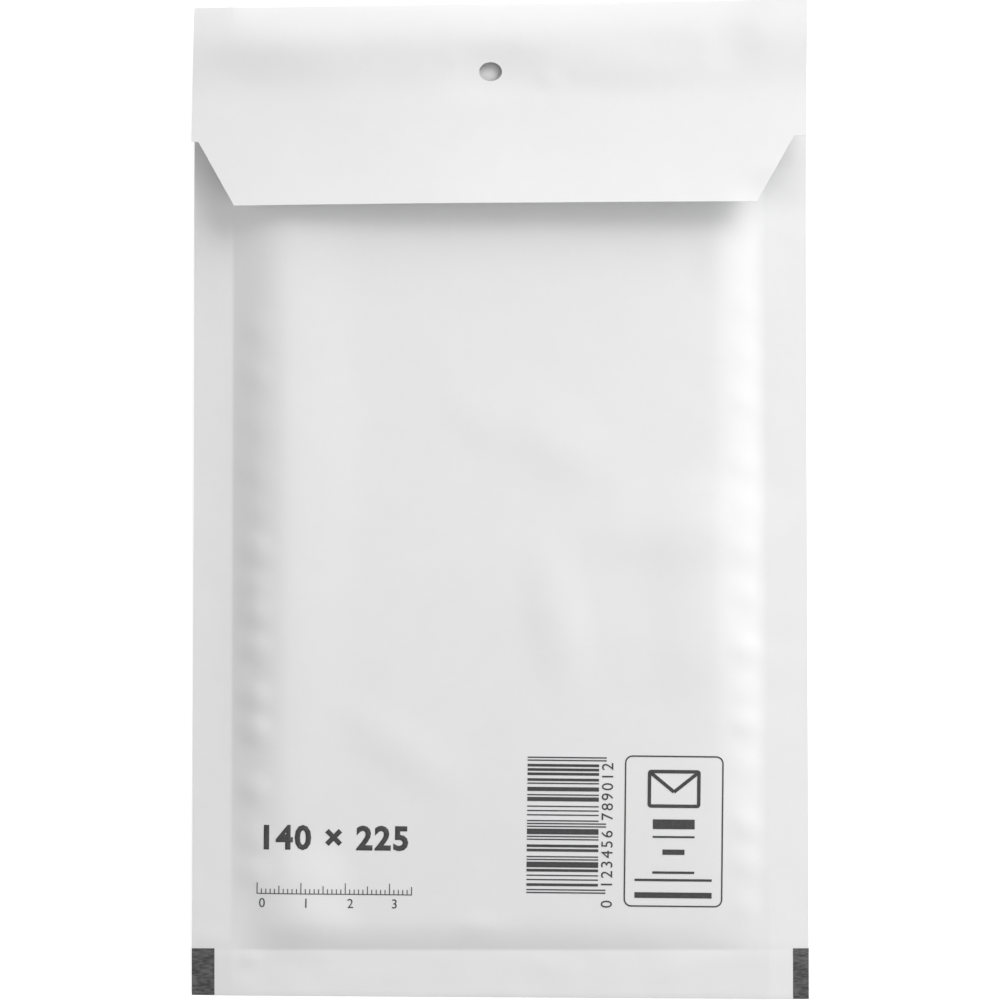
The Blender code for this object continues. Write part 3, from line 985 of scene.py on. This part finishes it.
def ink_line(start, end, line):
    """A straight printed line between two points."""
    (x0, y0), (x1, y1) = start, end
    length = math.hypot(x1 - x0, y1 - y0)
    bar = ink_bar(0, -line / 2, length, line)
    turn = Matrix.Rotation(math.atan2(y1 - y0, x1 - x0), 4, "Z")
    bar.data.transform(Matrix.Translation((x0, y0, 0)) @ turn)
    return bar


def lay_print(name, shapes, finish, turn=0.0, corner=(0.0, 0.0)):
    """Joins flat ink shapes, turns them, puts their own zero at corner and lays them on the back."""
    deselect_all()
    for shape in shapes:
        shape.select_set(True)
    bpy.context.view_layer.objects.active = shapes[0]
    if len(shapes) > 1:
        bpy.ops.object.join()
    ink = bpy.context.object
    ink.name = ink.data.name = name
    ink.data.transform(
        Matrix.Translation((*corner, 0)) @ Matrix.Rotation(PRINT_TURN + turn, 4, "Z")
    )
    bm = bmesh.new()
    bm.from_mesh(ink.data)
    bmesh.ops.remove_doubles(bm, verts=bm.verts, dist=PRINT_MERGE_DISTANCE)
    cut_into_cells(bm, PRINT_CELL)
    for vertex in bm.verts:
        x, y = vertex.co.x, vertex.co.y
        vertex.co = (*panel_plan(x, y), back_height(x, y) + PAPER / 2 + INK_GAP)
    bmesh.ops.recalc_face_normals(bm, faces=bm.faces)
    if sum(face.normal.z * face.calc_area() for face in bm.faces) < 0:
        bmesh.ops.reverse_faces(bm, faces=bm.faces)
    bm.to_mesh(ink.data)
    bm.free()
    apply_modifier(ink, "SOLIDIFY", thickness=INK, offset=1)
    return finish_piece(ink, finish)


def cut_into_cells(bm, step):
    """Cuts flat shapes along a square grid, so that they can follow the paper."""
    for axis in (0, 1):
        along = [vertex.co[axis] for vertex in bm.verts]
        normal = Vector((axis == 0, axis == 1, 0))
        for i in range(math.ceil(min(along) / step), math.floor(max(along) / step) + 1):
            everything = [*bm.verts, *bm.edges, *bm.faces]
            bmesh.ops.bisect_plane(bm, geom=everything, plane_co=normal * i * step, plane_no=normal)


def make_corner_marks(finish):
    """The two dark fields at the bottom corners."""
    height = CORNER_MARK_TOP_Y - BOTTOM_Y
    left = ink_bar(-HALF_WIDTH, BOTTOM_Y, CORNER_MARK_LEFT, height)
    lay_print("corner_mark_left", [left], finish, turn=-PRINT_TURN)
    right = ink_bar(HALF_WIDTH - CORNER_MARK_RIGHT, BOTTOM_Y, CORNER_MARK_RIGHT, height)
    lay_print("corner_mark_right", [right], finish, turn=-PRINT_TURN)


def bar_code_modules():
    """The bars of a 13-figure code, one character a module, 1 for ink."""
    bars = [FIGURE_BARS[int(figure)] for figure in BAR_CODE_FIGURES[1:]]
    left, right = "".join(bars[:HALF_FIGURES]), "".join(bars[HALF_FIGURES:])
    flipped = right.translate(str.maketrans("01", "10"))
    return SIDE_GUARD + left + CENTRE_GUARD + flipped + SIDE_GUARD


def guard_modules():
    """The modules of the guard bars at both ends and in the middle of the code."""
    half = HALF_FIGURES * FIGURE_MODULES
    centre = len(SIDE_GUARD) + half
    end = centre + len(CENTRE_GUARD) + half
    return {
        *range(len(SIDE_GUARD)),
        *range(centre, centre + len(CENTRE_GUARD)),
        *range(end, end + len(SIDE_GUARD)),
    }


def figure_centre(place):
    """The module above the middle of a printed figure, by its place after the first figure."""
    centre = len(SIDE_GUARD) + FIGURE_MODULES * (place + 0.5)
    return centre + len(CENTRE_GUARD) if place >= HALF_FIGURES else centre


def make_bar_code(finish):
    """A bar code of placeholder figures, printed upwards along the envelope."""
    modules = bar_code_modules()
    guards = guard_modules()
    shapes = []
    start = 0
    while start < len(modules):
        end = start
        while end < len(modules) and modules[end] == modules[start]:
            end += 1
        if modules[start] == "1":
            reach = GUARD_REACH if start in guards else 0.0
            width = (end - start) * MODULE - BAR_TRIM
            shapes.append(ink_bar(start * MODULE, -reach, width, BAR_HEIGHT + reach))
        start = end
    baseline = -FIGURE_DROP
    first_x = -FIRST_FIGURE_MODULES * MODULE
    shapes.append(ink_figures(BAR_CODE_FIGURES[0], first_x, baseline, CODE_FIGURE_HEIGHT))
    for place, figure in enumerate(BAR_CODE_FIGURES[1:]):
        x = figure_centre(place) * MODULE
        shapes.append(ink_figures(figure, x, baseline, CODE_FIGURE_HEIGHT, align="CENTER"))
    lay_print("bar_code", shapes, finish, turn=math.pi / 2, corner=BAR_CODE_CORNER)


def make_label(finish):
    """A framed label with a plain drawing of an envelope above plain bars."""
    shapes = [ink_outline(0, 0, LABEL_WIDTH, LABEL_HEIGHT, LABEL_LINE, corner=LABEL_ROUNDING)]
    x, y = LABEL_ENVELOPE_CORNER
    width, height = LABEL_ENVELOPE_WIDTH, LABEL_ENVELOPE_HEIGHT
    line = LABEL_ENVELOPE_LINE
    shapes.append(ink_outline(x, y, width, height, line, corner=line))
    tip = (x + width / 2, y + height * LABEL_ENVELOPE_TIP_SHARE)
    shapes.append(ink_line((x + line, y + height - line), tip, line))
    shapes.append(ink_line(tip, (x + width - line, y + height - line), line))
    for bar_y, bar_width, bar_height in LABEL_BARS:
        left = (LABEL_WIDTH - bar_width * MM) / 2
        shapes.append(ink_bar(left, bar_y * MM, bar_width * MM, bar_height * MM))
    lay_print("label", shapes, finish, corner=LABEL_CORNER)


def make_size_figures(finish):
    """The envelope's own width and length in bold figures."""
    figures = ink_figures(
        SIZE_FIGURES, 0, 0, SIZE_FIGURE_HEIGHT,
        spacing=SIZE_FIGURE_SPACING, weight=SIZE_FIGURE_WEIGHT,
    )
    lay_print("size_figures", [figures], finish, corner=SIZE_FIGURES_CORNER)


def make_ruler(finish):
    """A printed scale in centimetres."""
    shapes = [ink_bar(0, RULER_BASE, RULER_LENGTH + RULER_LINE, RULER_LINE)]
    centimetre_tick, half_tick, millimetre_tick = RULER_TICKS
    for i in range(round(RULER_LENGTH / MM) + 1):
        whole, half = i % 10 == 0, i % 5 == 0
        height = centimetre_tick if whole else half_tick if half else millimetre_tick
        shapes.append(ink_bar(i * MM, RULER_BASE, RULER_LINE, height))
        if whole:
            x = i * MM + RULER_FIGURE_SHIFT
            shapes.append(ink_figures(str(i // 10), x, 0, RULER_FIGURE_HEIGHT))
    lay_print("ruler", shapes, finish, corner=RULER_CORNER)


# Stage

def make_camera():
    """A camera looking down on the envelope, a little from its bottom end."""
    data = bpy.data.cameras.new("camera")
    camera = bpy.data.objects.new("camera", data)
    bpy.context.collection.objects.link(camera)
    data.sensor_width = SENSOR_WIDTH
    data.lens = SENSOR_WIDTH * CAMERA_DISTANCE / VIEW_WIDTH
    offset = Vector((0, -math.sin(CAMERA_TILT), math.cos(CAMERA_TILT))) * CAMERA_DISTANCE
    camera.location = Vector(CAMERA_TARGET) + offset
    camera.rotation_euler = (CAMERA_TILT, 0, 0)
    bpy.context.scene.camera = camera


def make_softbox(name, place, size, power):
    """A square softbox that faces the envelope."""
    data = bpy.data.lights.new(name, "AREA")
    data.size = size
    data.energy = power
    lamp = bpy.data.objects.new(name, data)
    bpy.context.collection.objects.link(lamp)
    lamp.location = place
    lamp.rotation_euler = (-Vector(place)).to_track_quat("-Z", "Y").to_euler()


def make_stage():
    """The floor, the light of the room and the softboxes."""
    deselect_all()
    bpy.ops.mesh.primitive_plane_add(size=FLOOR_SIZE)
    floor = bpy.context.object
    floor.name = "floor"
    floor.data.materials.append(material("white painted board", studio_white))
    world = bpy.data.worlds.new("studio")
    world.use_nodes = True
    tree = world.node_tree
    tree.nodes.clear()
    strength = add_node(
        tree, "ShaderNodeMapRange", Value=seen_directly(tree), To_Min=ROOM_LIGHT, To_Max=1.0
    )
    glow = add_node(tree, "ShaderNodeBackground", Color=(1, 1, 1, 1), Strength=strength.outputs[0])
    add_node(tree, "ShaderNodeOutputWorld", Surface=glow.outputs[0])
    bpy.context.scene.world = world
    make_softbox("key softbox", KEY_PLACE, KEY_SIZE, KEY_POWER)
    make_softbox("front softbox", FRONT_PLACE, FRONT_SIZE, FRONT_POWER)
    make_softbox("left softbox", LEFT_PLACE, LEFT_SIZE, LEFT_POWER)
    bpy.context.scene.view_settings.view_transform = "Standard"


def main():
    make_camera()
    make_stage()
    ink = material("flexographic ink", flexo_ink)
    make_paper_cover(material("white kraft paper", white_kraft_paper))
    make_liner(material("LDPE bubble film", bubble_film))
    make_closure(
        material("hot-melt adhesive", hot_melt_adhesive),
        material("siliconised release paper", release_paper),
    )
    make_corner_marks(material("worn flexographic ink", worn_flexo_ink))
    make_bar_code(ink)
    make_label(ink)
    make_size_figures(ink)
    make_ruler(ink)
    deselect_all()


main()
